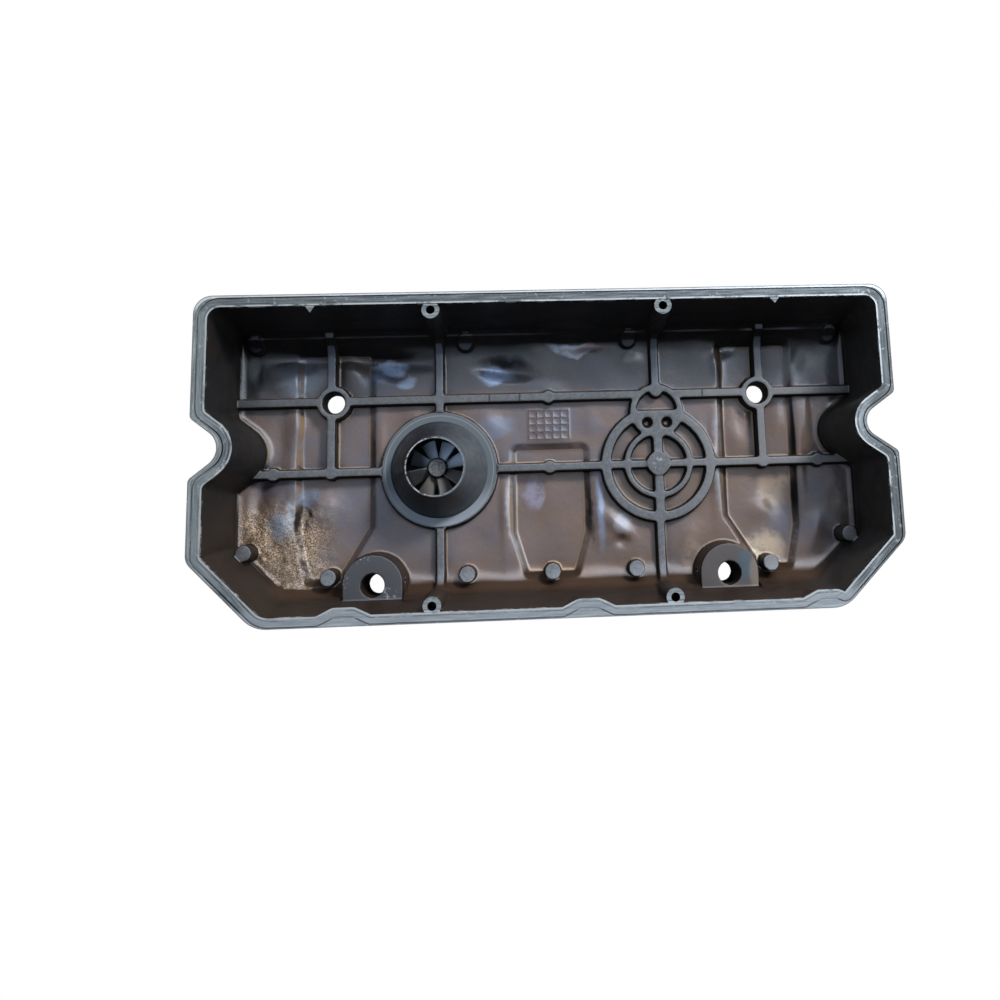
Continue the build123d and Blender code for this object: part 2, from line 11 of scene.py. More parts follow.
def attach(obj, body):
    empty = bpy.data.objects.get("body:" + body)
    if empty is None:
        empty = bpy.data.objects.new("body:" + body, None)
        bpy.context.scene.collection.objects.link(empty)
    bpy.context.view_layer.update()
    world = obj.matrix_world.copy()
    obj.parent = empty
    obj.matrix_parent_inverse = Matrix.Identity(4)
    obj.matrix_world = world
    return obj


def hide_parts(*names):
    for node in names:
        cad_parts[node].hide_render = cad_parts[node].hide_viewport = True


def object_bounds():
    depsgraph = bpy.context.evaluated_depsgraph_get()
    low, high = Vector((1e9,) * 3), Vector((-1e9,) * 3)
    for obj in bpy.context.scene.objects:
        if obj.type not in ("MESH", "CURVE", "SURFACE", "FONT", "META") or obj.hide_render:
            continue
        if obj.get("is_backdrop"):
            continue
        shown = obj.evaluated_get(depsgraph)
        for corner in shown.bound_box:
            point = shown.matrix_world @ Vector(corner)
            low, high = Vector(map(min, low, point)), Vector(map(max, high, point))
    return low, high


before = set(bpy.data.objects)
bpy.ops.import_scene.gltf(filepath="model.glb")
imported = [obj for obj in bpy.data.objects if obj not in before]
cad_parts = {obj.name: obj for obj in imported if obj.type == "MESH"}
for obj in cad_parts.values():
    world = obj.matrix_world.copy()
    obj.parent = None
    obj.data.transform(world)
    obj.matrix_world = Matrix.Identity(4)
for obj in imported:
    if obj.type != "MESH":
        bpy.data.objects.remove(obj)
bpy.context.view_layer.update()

# --- Cover casting ---------------------------------------------------------------------------
# The cover is one aluminium die casting. Its walls, ribs and bosses have the soft corners of the
# die, while the sealing rim is machined flat and keeps its fine groove and sharp edges.

MM = 0.001
RIM_FOOT = 80.0 * MM        # the crisp rim starts here, and overlaps the cast walls a little
CAST_TOP = 81.9 * MM
RIM_LEVEL = 88.0            # the flat of the rim lies above this, in mm
CAST_GRAIN = 0.95 * MM      # cell size of the cast skin
CAST_FACES = 185_000
# places in mm: the bottom wall, the lugs, and the rounds where the floor meets the long walls
BOTTOM_WALL = 5.2
LEAST_WALL = 1.6            # what the deepest hollow leaves of the bottom wall
CAVITY_REACH = 113.5
LUG_X, LUG_Y, LUG_REACH = 141.5, -98.5, 24.2
LOWER_ROUND = (85.5, 24.0)  # where it starts, and its radius
UPPER_ROUND = (84.0, 18.5)
HOLLOW_DEPTH = 1.25         # how much deeper the relief below is laid than it is listed
FLASH_TONGUES = ((-182.5, 110.6, 5.4), (180.0, 111.4, 4.6))    # tip x, tip y, length
WAVER = 10.0 * MM           # how far the outlines of stains wander
WINDOW_BEARING = (0.64, 0.77, 0.0)

# soft relief of the floor: (x, y, half length, half width, turn in degrees, rise), in mm
FLOOR_RELIEF = (
    # row behind the upper rib
    (-209, 88, 21, 10, -1, -4.0),
    (-243, 78, 10, 8, -1, -1.0),
    (-219, 66, 16, 7, -1, 1.0),
    (-136, 84, 34, 7, -5, -5.0),
    (-133, 76, 18, 7, -26, -3.0),
    (-164, 79, 7, 13, -1, 1.6),
    (-157, 62, 10, 10, -1, 1.5),
    (-36, 74, 22, 7, -9, -4.6),
    (-6, 89, 12, 8, -1, 1.2),
    (10, 65, 15, 7, -1, -0.8),
    (37, 97, 34, 7, 1, -4.0),
    (72, 81, 9, 9, -1, 1.5),
    (123, 88, 16, 10, -1, 0.8),
    (154, 93, 16, 9, 34, -2.4),
    (169, 98, 7, 4, 19, 2.2),
    (145, 74, 5, 16, 9, 1.5),
    (200, 90, 12, 19, -21, 2.2),
    (212, 73, 7, 14, -21, -1.6),
    (232, 90, 12, 16, -1, -1.2),
    # row between the ribs
    (-222, 20, 8, 21, -2, -1.0),
    (-206, 32, 5, 11, -2, 1.2),
    (-112, 30, 8, 15, 8, 1.2),
    (-49, 28, 12, 10, -32, 1.6),
    (35, 26, 8, 14, -2, 1.0),
    (128, 11, 5, 17, -2, 0.8),
    (158, 18, 7, 19, -2, 1.2),
    (167, 31, 5, 9, -1, 1.0),
    (196, 26, 6, 21, -2, 1.0),
    (218, 26, 5, 23, -2, 1.8),
    (242, 42, 12, 19, -21, 1.0),
    # row before the lower rib
    (-239, -30, 9, 19, -12, -3.2),
    (-219, -49, 10, 16, 8, 2.6),
    (-235, -65, 11, 11, -2, 1.6),
    (-204, -89, 18, 11, -2, 2.0),
    (-228, -100, 11, 7, -2, -1.2),
    (-184, -38, 18, 15, 18, 3.0),
    (-203, -44, 6, 15, -22, -2.6),
    (-124, -32, 8, 16, -2, 1.0),
    (-59, -70, 13, 13, -2, -0.8),
    (-17, -24, 10, 8, -2, -0.6),
    (-4, -40, 12, 18, -2, 0.7),
    (55, -58, 15, 7, -40, 2.8),
    (59, -71, 6, 5, -2, -1.6),
    (115, -68, 12, 12, -2, 0.8),
    (115, -84, 8, 10, -2, 0.8),
    (192, -38, 12, 15, -2, -3.4),
    (177, -49, 12, 9, -2, 1.2),
    (221, -67, 8, 15, -17, 1.2),
    (243, -93, 11, 11, -2, 2.4),
    (72, -107, 17, 7, -2, 1.0),
    (-59, -107, 15, 5, -2, 1.0),
    (-10, -108, 13, 5, -2, 0.8),
    # soft ridges beside the pockets
    (-38, -44, 4, 32, 0, 1.3),
    (39, -44, 4, 30, 0, 1.3),
    (47, -66, 6, 9, -20, 1.2),
    (139, -12, 4, 42, 0, 1.3),
    (212, 12, 4, 46, 0, 1.3),
    (-212, 6, 6, 42, 0, 0.8),
    (-139, 10, 4, 30, 0, 0.8),
)


def merged_copy(node):
    """A merged bmesh copy of a node of the construction."""
    copy = bmesh.new()
    copy.from_mesh(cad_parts[node].data)
    bmesh.ops.remove_doubles(copy, verts=copy.verts, dist=0.002 * MM)
    return copy


def cut_level(mesh, level, keep_below):
    """Cuts a closed bmesh at a level and closes the cut."""
    cut = bmesh.ops.bisect_plane(
        mesh,
        geom=mesh.verts[:] + mesh.edges[:] + mesh.faces[:],
        dist=1e-7,
        plane_co=(0, 0, level),
        plane_no=(0, 0, 1),
        clear_outer=keep_below,
        clear_inner=not keep_below,
    )
    edges = [g for g in cut["geom_cut"] if isinstance(g, bmesh.types.BMEdge)]
    bmesh.ops.triangle_fill(mesh, edges=edges, use_beauty=True, use_dissolve=False)
    bmesh.ops.recalc_face_normals(mesh, faces=mesh.faces)


def finished(mesh, name):
    """Turns a bmesh into an object of the scene and frees it."""
    data = bpy.data.meshes.new(name)
    mesh.to_mesh(data)
    mesh.free()
    piece = bpy.data.objects.new(name, data)
    bpy.context.scene.collection.objects.link(piece)
    return piece


def settle(piece):
    """Bakes the modifiers of a piece into its mesh."""
    bpy.context.view_layer.update()
    ready = piece.evaluated_get(bpy.context.evaluated_depsgraph_get())
    data = bpy.data.meshes.new_from_object(ready)
    piece.modifiers.clear()
    piece.data = data


def soft_step(value, low, high):
    """0 below low, 1 above high, smooth between."""
    t = np.clip((value - low) / (high - low), 0, 1)
    return t * t * (3 - 2 * t)


def mesh_places(data):
    """The vertex places of a mesh, in mm, one row each."""
    places = np.empty(len(data.vertices) * 3, dtype=np.float32)
    data.vertices.foreach_get("co", places)
    return places.reshape(-1, 3) / MM


def floor_rise(x, y):
    """How far the relief lifts the floor: broad waves, cast lumps in the left front corner, hollows."""
    rise = 0.5 * np.sin(x / 11.0 + 1.3 * np.sin(y / 17.0)) * np.sin(y / 13.0 + x / 29.0)
    lumpy = soft_step(-x, 160, 200) * soft_step(-y, 14, 40)
    rise += 0.34 * lumpy * np.sin(x / 2.9 + 2.0 * np.sin(y / 6.1)) * np.sin(y / 3.3 + 1.7 * np.sin(x / 5.3))
    rise += 0.20 * lumpy * np.sin(x / 1.5 + 2.0 * np.sin(y / 2.7)) * np.sin(y / 1.4 + 1.5 * np.sin(x / 3.1))
    for cx, cy, length, width, turn, height in FLOOR_RELIEF:
        a = math.radians(turn)
        u = ((x - cx) * math.cos(a) + (y - cy) * math.sin(a)) / length
        v = ((y - cy) * math.cos(a) - (x - cx) * math.sin(a)) / width
        rise += HOLLOW_DEPTH * height * np.exp(-(u * u + v * v) * 1.1)
    return rise


def floor_share(x, y, z):
    """1 on the floor, 0 on the ribs, the walls and the outer side."""
    share = soft_step(z, 3.2, BOTTOM_WALL) * (1 - soft_step(z, 12.0, 16.5))
    return share * soft_step(250 - np.abs(x), 0, 12) * soft_step(108 - np.abs(y), 0, 10)


def side_rise(y):
    """How far the floor sweeps up at the foot of the two long walls, as quarter rounds."""
    rise = 0
    for (start, radius), run in ((LOWER_ROUND, -y), (UPPER_ROUND, y)):
        along = np.clip(run - start, 0, radius - 1)
        rise = rise + (radius - np.sqrt(radius**2 - along**2))
    return rise


def raise_floor(piece):
    """Gives the floor its hollows and swellings, and keeps the level each vertex had before."""
    data = piece.data
    places = mesh_places(data)
    x, y, z = places.T
    kept = data.attributes.new("level", "FLOAT", "POINT")
    kept.data.foreach_set("value", (z * MM).astype(np.float32))
    normals = np.empty(len(z) * 3, dtype=np.float32)
    data.vertices.foreach_get("normal", normals)
    underside = (z < BOTTOM_WALL) | ((normals.reshape(-1, 3)[:, 2] < -0.05) & (z < 10))
    # ribs and pads ride on the sweep, while the lugs keep their flat tops
    sweep = side_rise(y) * (1 - soft_step(np.abs(x), 246, 254))
    lug_x = np.abs(x) - LUG_X
    lug = (np.hypot(lug_x, y - LUG_Y) < LUG_REACH) | ((np.abs(lug_x) < LUG_REACH) & (y < LUG_Y))
    riding = z + sweep * (1 - soft_step(z, 17, 60))
    swept = np.where(lug & (z > 6.5), np.maximum(z, np.minimum(z, 6) + sweep), riding)
    swept = np.where(underside | (np.abs(y) > CAVITY_REACH), z, swept)
    # a hollow never comes through the bottom wall
    rise = floor_rise(x, y) * floor_share(x, y, z)
    depth = np.maximum(z - LEAST_WALL, 0.5)
    places[:, 2] = swept + np.where(rise < 0, depth * np.tanh(rise / depth), rise)
    data.vertices.foreach_set("co", (places * MM).ravel())


def outline_loops(mesh):
    """The edge loops of the top face of the rim, each as pairs of points in mm, widest first."""
    edges = {
        edge for edge in mesh.edges
        if len(edge.link_faces) == 2
        and all(v.co.z > 89.9 * MM for v in edge.verts)
        and (edge.link_faces[0].normal.z > 0.9) != (edge.link_faces[1].normal.z > 0.9)
    }
    loops = []
    while edges:
        loop, waiting = [], [edges.pop()]
        while waiting:
            edge = waiting.pop()
            loop.append([v.co.xy[:] for v in edge.verts])
            near = [other for v in edge.verts for other in v.link_edges if other in edges]
            edges.difference_update(near)
            waiting.extend(near)
        loops.append(np.array(loop) / MM)
    return sorted(loops, key=lambda loop: -np.ptp(loop[:, :, 0]))


def loop_distance(places, loop):
    """How far each place lies from a loop, in mm."""
    start, along = loop[:, 0], loop[:, 1] - loop[:, 0]
    offset = places[:, None, :2] - start
    share = np.clip((offset * along).sum(2) / (along * along).sum(1), 0, 1)
    return np.sqrt(((offset - share[..., None] * along) ** 2).sum(2).min(1))


cast_skin = merged_copy("cover_casting")
cut_level(cast_skin, CAST_TOP, keep_below=True)
casting = finished(cast_skin, "cover_casting_surface")
remesh = casting.modifiers.new("skin", "REMESH")
remesh.mode = "VOXEL"
remesh.voxel_size = CAST_GRAIN
soften = casting.modifiers.new("soften", "SMOOTH")
soften.factor = 0.5
soften.iterations = 2
settle(casting)
raise_floor(casting)
thin = casting.modifiers.new("thin", "DECIMATE")
thin.ratio = min(1.0, CAST_FACES / (2 * len(casting.data.polygons)))
settle(casting)

rim = merged_copy("cover_casting")
cut_level(rim, RIM_FOOT, keep_below=False)
loops = outline_loops(rim)
whole = bmesh.new()
whole.from_mesh(casting.data)
cast_count = len(whole.verts)
rim_data = bpy.data.meshes.new("rim")
rim.to_mesh(rim_data)
rim.free()
for face in whole.faces:
    face.smooth = True
whole.from_mesh(rim_data)
# two little tongues of flash hang from the inner edge of the rim
for tip_x, tip_y, reach in FLASH_TONGUES:
    plate = [(tip_x - 4.2, tip_y + reach), (tip_x, tip_y), (tip_x + 3.6, tip_y + reach)]
    rows = [[whole.verts.new((px * MM, py * MM, h * MM)) for px, py in plate] for h in (87.0, 88.95)]
    whole.faces.new(rows[0][::-1])
    whole.faces.new(rows[1])
    for k in range(3):
        whole.faces.new((rows[0][k], rows[0][(k + 1) % 3], rows[1][(k + 1) % 3], rows[1][k]))
whole.to_mesh(casting.data)
whole.free()

# kept with each vertex: its level before the relief, and its distance from the rim's two edges
places = mesh_places(casting.data)
count = len(places)
level = np.empty(count, dtype=np.float32)
casting.data.attributes["level"].data.foreach_get("value", level)
level[cast_count:] = places[cast_count:, 2] * MM
casting.data.attributes["level"].data.foreach_set("value", level)
on_rim = places[:, 2] > RIM_LEVEL
# the rim's edges from outside in: outer edge, the two edges of the groove, edge of the cavity
for name, loop in (("from_outside", loops[0]), ("from_inside", loops[3])):
    distance = np.full(count, 99.0)
    distance[on_rim] = loop_distance(places[on_rim], loop)
    kept = casting.data.attributes.new(name, "FLOAT", "POINT")
    kept.data.foreach_set("value", (distance * MM).astype(np.float32))


# the grain of every surface is made of these few nodes
def shader(name):
    """A new material, with its node tree and Principled shader."""
    material = bpy.data.materials.new(name)
    material.use_nodes = True
    tree = material.node_tree
    return material, tree, tree.nodes["Principled BSDF"]


def add_node(tree, kind, inputs=None, **settings):
    """A node with its settings and its unlinked inputs, or links where an input is a socket."""
    node = tree.nodes.new(kind)
    for key, value in settings.items():
        setattr(node, key, value)
    for key, value in (inputs or {}).items():
        if isinstance(value, bpy.types.NodeSocket):
            tree.links.new(value, node.inputs[key])
        else:
            node.inputs[key].default_value = value
    return node


def maths(tree, operation, *values):
    """The result of a Math node."""
    return add_node(tree, "ShaderNodeMath", dict(enumerate(values)), operation=operation).outputs[0]


def noise(tree, place, scale, detail=3.0, roughness=0.5, distortion=0.0):
    """The value of a Noise Texture; scale is in waves per metre."""
    return add_node(
        tree,
        "ShaderNodeTexNoise",
        {"Vector": place, "Scale": scale, "Detail": detail, "Roughness": roughness, "Distortion": distortion},
    ).outputs["Fac"]


def ramp(tree, value, low, high, to_low=0.0, to_high=1.0):
    """The value mapped smoothly from low..high to to_low..to_high."""
    return add_node(
        tree,
        "ShaderNodeMapRange",
        {"Value": value, "From Min": low, "From Max": high, "To Min": to_low, "To Max": to_high},
        interpolation_type="SMOOTHSTEP",
    ).outputs[0]


def blend(tree, share, first, second):
    """The first colour where the share is 0, the second where it is 1."""
    return add_node(
        tree, "ShaderNodeMix", {0: share, 6: first, 7: second}, data_type="RGBA"
    ).outputs[2]


def mixed_value(tree, share, first, second):
    """The first value where the share is 0, the second where it is 1."""
    return add_node(tree, "ShaderNodeMix", {0: share, 2: first, 3: second}).outputs[0]


def inverse(tree, mask):
    """What a mask leaves free."""
    return maths(tree, "SUBTRACT", 1.0, mask)


def times(tree, *values):
    """The product of several masks."""
    product = values[0]
    for value in values[1:]:
        product = maths(tree, "MULTIPLY", product, value)
    return product


def layered(tree, base, *layers):
    """Plain colours laid over a base in turn, each where the product of its masks says."""
    for *masks, colour in layers:
        base = blend(tree, times(tree, *masks), base, (*colour, 1))
    return base


def band(tree, value, start, full, fade, end):
    """1 between full and fade, 0 outside start..end."""
    return times(tree, ramp(tree, value, start, full), ramp(tree, value, end, fade))


def spot(tree, x, y, centre, reach, soft=0.8):
    """1 at a centre and 0 outside an ellipse around it; centre and reach in mm."""
    parts = [
        maths(tree, "MULTIPLY_ADD", axis, 1 / (r * MM), -c / r) for axis, c, r in zip((x, y), centre, reach)
    ]
    far = maths(tree, "ADD", times(tree, parts[0], parts[0]), times(tree, parts[1], parts[1]))
    return ramp(tree, far, 1.0, 1.0 - soft)


def toward_window(tree, direction):
    """How squarely a direction points to the window, from -1 to 1."""
    turn = add_node(tree, "ShaderNodeVectorMath", {0: direction, 1: WINDOW_BEARING}, operation="DOT_PRODUCT")
    return turn.outputs["Value"]


# stains of the floor, with painted highlights, painted reflections and painted shade on its hollows and
# bumps: (centre, reach) in mm, strength and colour; later ones lie over earlier ones
STAINS_AND_PAINTED_LIGHT = (
    # brown oil in the right-hand ring and along the front, and a painted bluish sheen in the middle pocket
    ((90.7, -8.2), (50, 50), 0.75, (0.20, 0.135, 0.09)),
    ((62, -88), (46, 14), 0.7, (0.14, 0.085, 0.055)),
    ((5, -95), (38, 17), 0.85, (0.16, 0.080, 0.045)),
    ((-72, -93), (36, 14), 0.6, (0.19, 0.12, 0.09)),
    ((100, -101), (60, 8), 0.6, (0.06, 0.04, 0.03)),
    ((-14, -30), (10, 18), 0.8, (0.31, 0.30, 0.42)),
    # painted shade on the upper sides and painted bluish sky reflections on the lower sides of the hollows
    # behind the upper rib
    ((22, 91), (24, 7), 0.9, (0.62, 0.66, 0.82)),
    ((33, 91), (22, 4), 0.8, (0.27, 0.17, 0.15)),
    ((-36, 82), (24, 6), 1.0, (0.006, 0.006, 0.008)),
    ((-42, 69), (18, 9), 0.9, (0.50, 0.64, 0.95)),
    ((-12, 70), (10, 5), 0.8, (0.10, 0.085, 0.09)),
    ((-134, 89), (38, 6), 1.0, (0.007, 0.007, 0.009)),
    ((-134, 78), (20, 7), 0.9, (0.50, 0.64, 0.95)),
    ((-146, 70), (12, 8), 0.7, (0.20, 0.27, 0.40)),
    ((-118, 67), (12, 6), 0.8, (0.42, 0.52, 0.72)),
    ((-212, 84), (16, 3), 0.9, (0.010, 0.010, 0.013)),
    # painted highlights on the ridges and bumps beside the rings and pockets
    ((-42, 26), (18, 11), 0.6, (0.19, 0.23, 0.32)),
    ((72, 82), (10, 8), 0.7, (0.31, 0.29, 0.29)),
    ((42, -45), (5, 36), 0.8, (0.19, 0.24, 0.36)),
    ((60, -57), (10, 9), 0.8, (0.36, 0.36, 0.40)),
    ((-34, -44), (5, 36), 0.7, (0.30, 0.28, 0.31)),
    ((142, -2), (5, 50), 0.75, (0.26, 0.27, 0.30)),
    # warm right-hand end: brown stains, painted glints on its bumps, painted light on the floor that the end
    # wall shades, and painted shade by the end wall at the front
    ((219, 20), (8, 26), 0.5, (0.22, 0.17, 0.14)),
    ((188, -32), (16, 17), 0.8, (0.38, 0.30, 0.23)),
    ((178, -78), (22, 14), 0.85, (0.56, 0.44, 0.32)),
    ((172, -85), (9, 6), 1.0, (1.0, 0.88, 0.72)),
    ((160, 93), (8, 5), 0.9, (0.8, 0.8, 0.85)),
    ((160, 26), (11, 20), 0.6, (0.28, 0.21, 0.18)),
    ((117, -85), (11, 17), 0.75, (0.31, 0.23, 0.18)),
    ((243, -45), (14, 28), 0.7, (0.07, 0.055, 0.05)),
    ((232, 28), (12, 16), 0.7, (0.30, 0.23, 0.19)),
    # cool left-hand end: painted bluish highlights on its lumps, and painted shade in the far corner
    ((-104, -62), (18, 16), 0.5, (0.13, 0.15, 0.20)),
    ((-196, -28), (13, 9), 0.8, (0.18, 0.23, 0.32)),
    ((-222, -50), (12, 15), 0.8, (0.21, 0.26, 0.34)),
    ((-210, -44), (6, 22), 0.7, (0.26, 0.30, 0.34)),
    ((-182, -44), (12, 14), 0.5, (0.20, 0.18, 0.18)),
    ((-205, 72), (26, 20), 0.7, (0.30, 0.34, 0.42)),
    ((-247, 76), (13, 34), 1.0, (0.012, 0.012, 0.013)),
    # last touches on both sides: painted shade beside the middle pocket, a warm stain, and painted highlights
    # on the bumps behind the upper rib
    ((33, -44), (3, 36), 0.9, (0.03, 0.03, 0.035)),
    ((207, 82), (30, 22), 0.4, (0.20, 0.17, 0.16)),
    ((162, 99), (14, 5), 0.7, (0.45, 0.46, 0.50)),
    ((146, 80), (5, 16), 0.7, (0.32, 0.36, 0.44)),
)
CHIPPED_LANDS = (((-152, -79), (11, 4)), ((-128, -105), (6, 9)), ((90.5, -8), (7, 7)), ((-163, -92), (3, 12)))
RIB_STEPS = (-49, -24, 130)         # where the upper rib changes its height, x in mm
TORN_EDGES = ((-244, 25), (-246, -10))
PANEL_PITCH_X, PANEL_PITCH_Y, PANEL_Y = 6.7, 6.1, 27.2

casting_look, tree, skin = shader("oily_die_casting")
place = add_node(tree, "ShaderNodeTexCoord").outputs["Object"]
x, y, z = add_node(tree, "ShaderNodeSeparateXYZ", {0: place}).outputs
level, from_outside, from_inside = (
    add_node(tree, "ShaderNodeAttribute", attribute_name=name).outputs["Fac"]
    for name in ("level", "from_outside", "from_inside")
)
normal = add_node(tree, "ShaderNodeNewGeometry").outputs["Normal"]
rightward, _, facing = add_node(tree, "ShaderNodeSeparateXYZ", {0: normal}).outputs
lit = toward_window(tree, normal)
up = ramp(tree, facing, 0.72, 0.94)
broad = noise(tree, place, 9.0, 3.0, 0.5)
mottle = noise(tree, place, 30.0, 5.0, 0.6, 0.4)
cloud = noise(tree, place, 75.0, 4.0, 0.65)
fine = noise(tree, place, 420.0, 4.0, 0.6)
grit = noise(tree, place, 780.0, 3.0, 0.6)
speck = noise(tree, place, 1100.0, 2.0, 0.5)
# stains, painted highlights and painted shade have ragged outlines, so their places are taken from a wavering
# copy of the coordinates
waver = add_node(tree, "ShaderNodeTexNoise", {"Vector": place, "Scale": 48.0, "Detail": 3.0}).outputs["Color"]
shift = (2 * WAVER, 2 * WAVER, 0.0)
waver = add_node(tree, "ShaderNodeVectorMath", {0: waver, 1: shift, 2: place}, operation="MULTIPLY_ADD")
waver = add_node(tree, "ShaderNodeSeparateXYZ", {0: waver.outputs[0]}).outputs
drift_x, drift_y = (maths(tree, "SUBTRACT", axis, WAVER) for axis in waver[:2])

# oil-stained floor: warm grey and browner towards the lower wall, with painted bluish shade behind the upper
# rib and painted dark shade at the foot of the upper wall
colour = blend(tree, ramp(tree, mottle, 0.36, 0.66), (0.19, 0.14, 0.125, 1), (0.14, 0.13, 0.155, 1))
colour = layered(
    tree,
    colour,
    (ramp(tree, broad, 0.48, 0.62), 0.6, (0.17, 0.105, 0.07)),
    (ramp(tree, drift_y, -0.06, -0.112), 0.8, (0.115, 0.072, 0.052)),
    (ramp(tree, y, 0.048, 0.062), ramp(tree, mottle, 0.3, 0.6, 0.45, 0.85), (0.115, 0.125, 0.15)),
    (ramp(tree, drift_y, 0.070, 0.108), 0.85, (0.03, 0.029, 0.032)),
)
# the left front corner is gritty and sooty, with painted golden glints on the grit
gritty = times(
    tree, ramp(tree, x, -0.150, -0.200), ramp(tree, y, -0.014, -0.045), ramp(tree, level, 0.0135, 0.0125)
)
sooty = ramp(tree, noise(tree, place, 42.0, 3.0, 0.6, 0.5), 0.56, 0.40)
gold = blend(tree, ramp(tree, grit, 0.40, 0.64), (0.16, 0.105, 0.065, 1), (0.85, 0.62, 0.42, 1))
gold = layered(tree, gold, (sooty, 0.5, (0.045, 0.033, 0.025)))
golden = times(
    tree,
    gritty,
    ramp(tree, y, -0.022, -0.060),
    ramp(tree, x, -0.165, -0.205),
    ramp(tree, cloud, 0.25, 0.45),
    0.9,
)
colour = blend(tree, golden, colour, gold)
ragged = ramp(tree, cloud, 0.25, 0.5)
# lay the stains, and the painted highlights, reflections and shade, on the floor
for centre, reach, strength, mark_colour in STAINS_AND_PAINTED_LIGHT:
    mask = spot(tree, drift_x, drift_y, centre, reach, 0.95)
    colour = layered(tree, colour, (mask, ragged, strength, mark_colour))
colour = layered(tree, colour, (ramp(tree, speck, 0.66, 0.72), 0.3, (0.42, 0.42, 0.42)))

# fine dark lines beside the bars of the date panel
bars = []
for axis, pitch, shift in ((x, PANEL_PITCH_X, 0.5), (y, PANEL_PITCH_Y, -PANEL_Y / PANEL_PITCH_Y)):
    wave = maths(tree, "MULTIPLY_ADD", axis, 2 * math.pi / (pitch * MM), 2 * math.pi * shift)
    bars.append(ramp(tree, maths(tree, "COSINE", wave), 0.80, 0.93))
panel = times(
    tree, band(tree, x, -0.0173, -0.0168, 0.0168, 0.0173), band(tree, y, 0.0146, 0.0150, 0.0394, 0.0398)
)
bars = times(tree, maths(tree, "MAXIMUM", *bars), ramp(tree, speck, 0.40, 0.55))
colour = layered(tree, colour, (panel, bars, 0.8, (0.02, 0.02, 0.022)))

# steep sides: black varnish, browner on the lower wall
steep = blend(tree, ramp(tree, y, 0.0, -0.11), (0.013, 0.013, 0.014, 1), (0.026, 0.016, 0.011, 1))
steep = layered(
    tree,
    steep,
    (ramp(tree, x, 0.19, 0.23), 0.8, (0.048, 0.046, 0.044)),
    (ramp(tree, x, -0.19, -0.23), ramp(tree, y, 0.0, -0.07), 0.5, (0.027, 0.020, 0.015)),
    (ramp(tree, cloud, 0.42, 0.6), 0.5, (0.030, 0.021, 0.016)),
    (ramp(tree, y, -0.09, -0.105), ramp(tree, z, 0.045, 0.012), 0.8, (0.085, 0.050, 0.032)),
    (ramp(tree, speck, 0.68, 0.74), 0.2, (0.30, 0.30, 0.30)),
)
colour = blend(tree, up, steep, colour)

# rounded feet of ribs and pads: a painted golden highlight where they turn to the window, painted shade where
# they turn away
foot = times(
    tree,
    band(tree, facing, 0.40, 0.58, 0.76, 0.88),
    ramp(tree, level, 0.0138, 0.0120),
    band(tree, y, -0.100, -0.094, 0.086, 0.092),
)
golden_foot = times(
    tree, foot, ramp(tree, lit, 0.12, 0.35), ramp(tree, cloud, 0.3, 0.5), ramp(tree, y, -0.095, -0.085), 0.6
)
golden_foot = times(tree, golden_foot, inverse(tree, gritty))
foot_colour = blend(tree, ramp(tree, x, -0.225, -0.238), (0.40, 0.26, 0.145, 1), (0.50, 0.50, 0.46, 1))
colour = blend(tree, golden_foot, colour, foot_colour)
# edges of the pockets: painted shade on the slopes that face right, and a painted pale highlight along the
# brink
slope = times(
    tree, band(tree, level, 0.0062, 0.0066, 0.0078, 0.0087), band(tree, facing, 0.70, 0.80, 0.95, 0.985)
)
brink = times(
    tree, band(tree, level, 0.0059, 0.0062, 0.0064, 0.0068), band(tree, facing, 0.72, 0.82, 0.95, 0.985)
)
off_left_end = ramp(tree, x, -0.19, -0.18)
colour = layered(
    tree,
    colour,
    (foot, ramp(tree, lit, -0.05, -0.3), (0.008, 0.008, 0.009)),
    (slope, ramp(tree, rightward, 0.2, 0.4), off_left_end, 0.85, (0.035, 0.030, 0.030)),
    (brink, off_left_end, 0.6, (0.36, 0.24, 0.14)),
)

# lands that the die left higher: rib tops, pads and lugs, in a bluish grey
tilted = times(tree, ramp(tree, facing, 0.70, 0.80), ramp(tree, y, 0.080, 0.084))
land = times(tree, maths(tree, "MAXIMUM", up, tilted), band(tree, level, 0.0138, 0.0146, 0.07, 0.075))
high = ramp(tree, level, 0.034, 0.037)
low = ramp(tree, level, 0.031, 0.028)
dim = times(tree, low, ramp(tree, y, 0.02, 0.045))
land_colour = blend(tree, ramp(tree, fine, 0.35, 0.65), (0.118, 0.125, 0.138, 1), (0.165, 0.172, 0.185, 1))
land_colour = layered(
    tree,
    land_colour,
    (ramp(tree, y, 0.055, 0.06), 0.5, (0.22, 0.245, 0.30)),
    (ramp(tree, x, 0.10, 0.14), 0.4, (0.26, 0.26, 0.26)),
    # the lugs, the right one with a heat tint
    (high, 0.9, (0.062, 0.064, 0.072)),
    (high, ramp(tree, x, 0.05, 0.1), 0.7, (0.105, 0.088, 0.085)),
    (high, spot(tree, x, y, (154, -93), (8, 14)), 0.5, (0.06, 0.13, 0.17)),
    (high, spot(tree, x, y, (162, -99), (6, 15)), 0.5, (0.30, 0.24, 0.19)),
    # painted shade of the walls on the lands at the left end and in the far row
    (dim, ramp(tree, x, -0.18, -0.20), 0.25, (0.05, 0.05, 0.055)),
    (dim, ramp(tree, x, -0.225, -0.245), 0.4, (0.03, 0.03, 0.032)),
    (low, ramp(tree, y, 0.085, 0.09), 0.75, (0.07, 0.08, 0.10)),
)
nicks = ramp(tree, noise(tree, place, 330.0, 3.0, 0.7), 0.55, 0.63)
for centre, reach in CHIPPED_LANDS:
    mask = spot(tree, x, y, centre, reach)
    land_colour = layered(tree, land_colour, (mask, nicks, 0.8, (0.42, 0.43, 0.45)))
# a painted shade line across the upper rib at each step of its height
for step in RIB_STEPS:
    line = spot(tree, x, y, (step, 50), (0.9, 5.5), 0.5)
    land_colour = layered(tree, land_colour, (line, 0.8, (0.03, 0.03, 0.035)))
colour = blend(tree, land, colour, land_colour)
